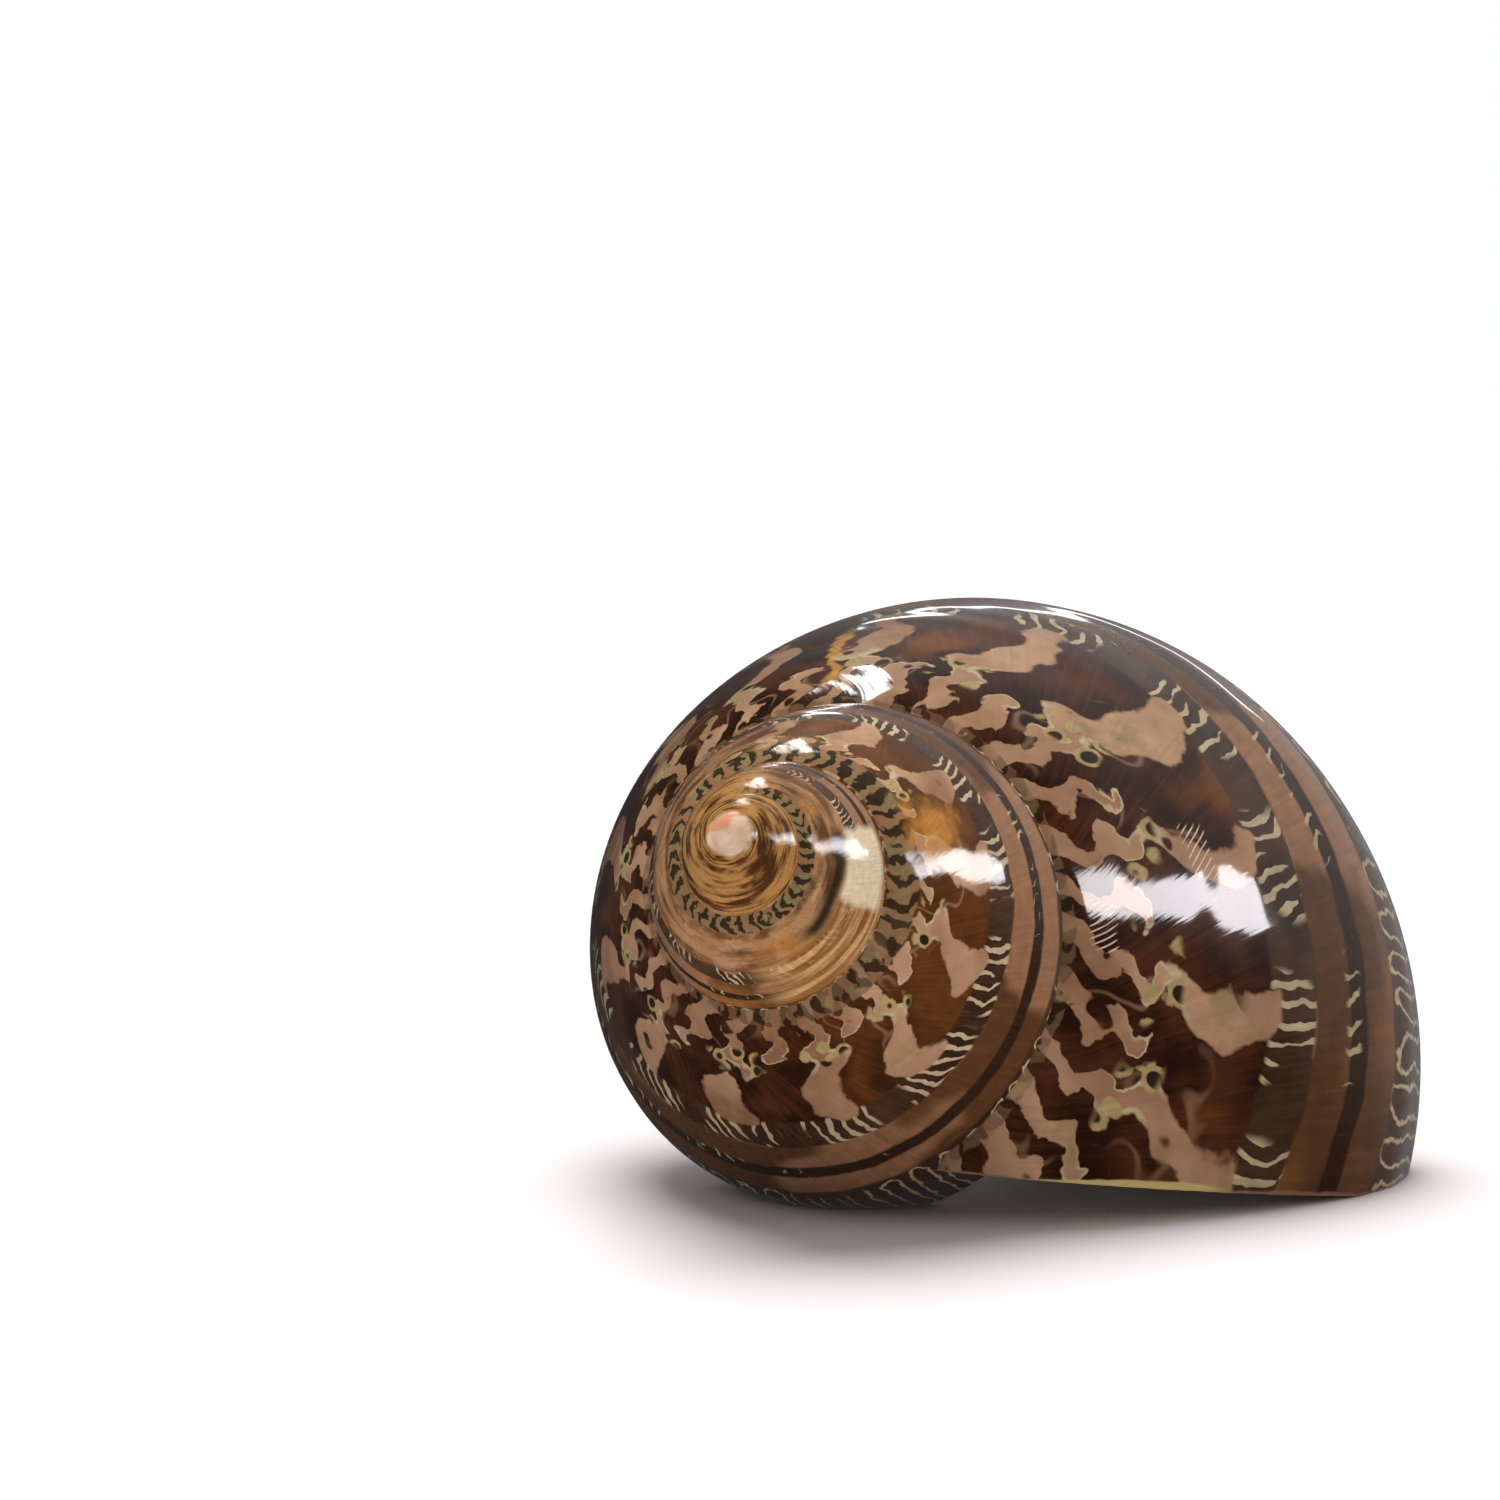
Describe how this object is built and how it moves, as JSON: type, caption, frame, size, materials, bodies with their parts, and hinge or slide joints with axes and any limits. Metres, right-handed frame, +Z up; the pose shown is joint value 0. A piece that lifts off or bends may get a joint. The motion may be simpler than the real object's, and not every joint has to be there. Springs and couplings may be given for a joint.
{
  "type": "turban shell",
  "caption": "Polished turban shell: a thick, glossy sea-snail shell that coils to a short spire, with a round mouth that it rests on.",
  "frame": {"origin": "on the ground, under the middle of the shell's bounding box", "axes": "+Z up from the surface that the shell rests on, mouth down; the tip of the spire points towards -Y and a little to -X; the outer lip is on the +X side"},
  "size_m": [0.0548, 0.051, 0.0375],
  "materials": {
    "shell": "polished"
  },
  "bodies": {
    "root": {"shell": "shell"}
  },
  "joints": []
}
